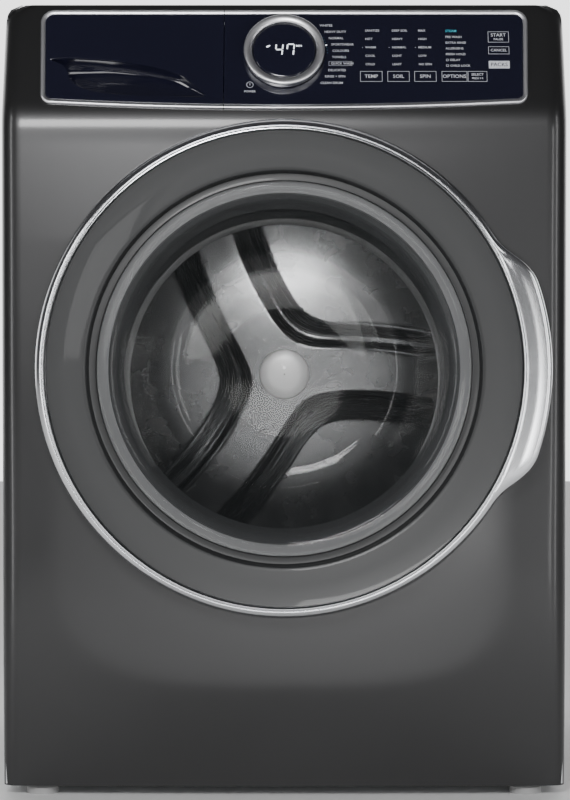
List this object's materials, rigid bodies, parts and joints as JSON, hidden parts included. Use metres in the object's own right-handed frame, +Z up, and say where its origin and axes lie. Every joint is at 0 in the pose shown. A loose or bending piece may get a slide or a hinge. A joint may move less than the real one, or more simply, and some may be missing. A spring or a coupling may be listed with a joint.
{
  "type": "front load washing machine",
  "caption": "Front load washing machine with a round glass door, leaning control face with knob and detergent drawer, hung tub, drum and belt drive.",
  "frame": {"origin": "middle of the outer box on the floor under the feet", "axes": "+X to the machine's right seen from the front, +Y from the door to the back, +Z up"},
  "size_m": [0.686, 0.8, 0.97],
  "materials": {
    "graphite_paint": "metallic graphite enamel on steel",
    "zinc_sheet": "galvanised sheet",
    "hinge_steel": "plated steel",
    "chrome": "bright chrome plating",
    "bezel_grey": "satin dark grey moulding",
    "glass": "pressed clear glass",
    "fascia": "gloss navy black",
    "grey_plastic": "moulded plastic",
    "rubber": "soft rubber",
    "spring_steel": "drawn wire and tube",
    "board": "circuit board",
    "valve": "white nylon",
    "concrete": "cast weight",
    "stainless": "stainless sheet",
    "cast_alloy": "die cast alloy",
    "motor_steel": "dark painted steel"
  },
  "bodies": {
    "cabinet": {"front_panel": "graphite_paint", "side_panel_left": "graphite_paint", "side_panel_right": "graphite_paint", "top_panel": "graphite_paint", "rear_panel": "zinc_sheet", "rear_access_cover": "zinc_sheet", "base_pan": "zinc_sheet", "spring_rails": "zinc_sheet", "top_braces": "zinc_sheet", "hinge_bracket": "hinge_steel", "door_lock": "grey_plastic", "door_gasket": "rubber", "tub_springs": "spring_steel", "damper_cylinders": "spring_steel", "console_trim": "chrome", "console_fascia": "fascia", "display_lens": "fascia", "control_board": "board", "dispenser_housing": "grey_plastic", "inlet_valves": "valve", "fill_hoses": "rubber", "dispenser_hose": "rubber", "drain_pump": "grey_plastic", "sump_hose": "rubber", "drain_hose": "rubber", "drain_outlet": "grey_plastic", "cord_gland": "rubber", "motor_controller": "grey_plastic", "pressure_switch": "grey_plastic"},
    "door": {"door_ring": "chrome", "door_bezel": "bezel_grey", "door_glass": "glass", "door_back_frame": "grey_plastic", "door_catch": "hinge_steel", "door_hinge_arm": "hinge_steel"},
    "drawer": {"drawer_trim": "chrome", "drawer_front": "fascia", "drawer_tray": "grey_plastic"},
    "knob": {"cycle_knob": "chrome"},
    "tub": {"tub_front": "grey_plastic", "tub_rear": "grey_plastic", "drum_bearings": "spring_steel", "counterweight_upper": "concrete", "counterweight_lower": "concrete", "counterweight_back": "concrete", "water_heater": "spring_steel", "damper_rods": "spring_steel", "motor_housing": "motor_steel", "drive_belt": "rubber"},
    "drum": {"drum_shell": "stainless", "drum_back": "stainless", "drum_lifters": "stainless", "drum_spider": "cast_alloy", "drum_pulley": "cast_alloy"},
    "rotor": {"motor_rotor": "motor_steel"},
    "impeller": {"pump_impeller": "grey_plastic"},
    "foot_front_left": {"foot_front_left": "rubber"},
    "foot_front_right": {"foot_front_right": "rubber"},
    "foot_back_left": {"foot_back_left": "rubber"},
    "foot_back_right": {"foot_back_right": "rubber"}
  },
  "joints": [
    {"name": "door_swing", "type": "hinge", "parent": "cabinet", "child": "door", "pos_m": [-0.281, -0.374, 0.523], "axis": [0, 0, -1], "range_deg": [0, 100]},
    {"name": "drawer_slide", "type": "slide", "parent": "cabinet", "child": "drawer", "axis": [0, -1, 0], "range_m": [0, 0.2]},
    {"name": "cycle_knob_turn", "type": "hinge", "parent": "cabinet", "child": "knob", "pos_m": [0, -0.30771, 0.90609], "axis": [0, -0.9026, 0.4305], "continuous": true},
    {"name": "tub_float", "type": "slide", "parent": "cabinet", "child": "tub", "axis": [0, 0, 1], "range_m": [-0.01, 0.01], "stiffness_N_per_m": 60000, "springref_m": 0.0054, "deforming": ["tub_springs", "door_gasket", "dispenser_hose", "sump_hose"]},
    {"name": "drum_spin", "type": "hinge", "parent": "tub", "child": "drum", "pos_m": [0, 0, 0.509], "axis": [0, 1, 0], "continuous": true},
    {"name": "motor_spin", "type": "hinge", "parent": "tub", "child": "rotor", "pos_m": [0.11, 0.2, 0.14], "axis": [0, 1, 0], "continuous": true},
    {"name": "pump_spin", "type": "hinge", "parent": "cabinet", "child": "impeller", "pos_m": [0.15, -0.205, 0.1], "axis": [0, 1, 0], "continuous": true},
    {"name": "foot_front_left_turn", "type": "hinge", "parent": "cabinet", "child": "foot_front_left", "pos_m": [-0.298, -0.3, 0.02], "axis": [0, 0, 1], "continuous": true},
    {"name": "foot_front_right_turn", "type": "hinge", "parent": "cabinet", "child": "foot_front_right", "pos_m": [0.298, -0.3, 0.02], "axis": [0, 0, 1], "continuous": true},
    {"name": "foot_back_left_turn", "type": "hinge", "parent": "cabinet", "child": "foot_back_left", "pos_m": [-0.298, 0.344, 0.02], "axis": [0, 0, 1], "continuous": true},
    {"name": "foot_back_right_turn", "type": "hinge", "parent": "cabinet", "child": "foot_back_right", "pos_m": [0.298, 0.344, 0.02], "axis": [0, 0, 1], "continuous": true}
  ],
  "couplings": [
    {"joint": "motor_spin", "follows": "drum_spin", "ratio": 12.5}
  ]
}
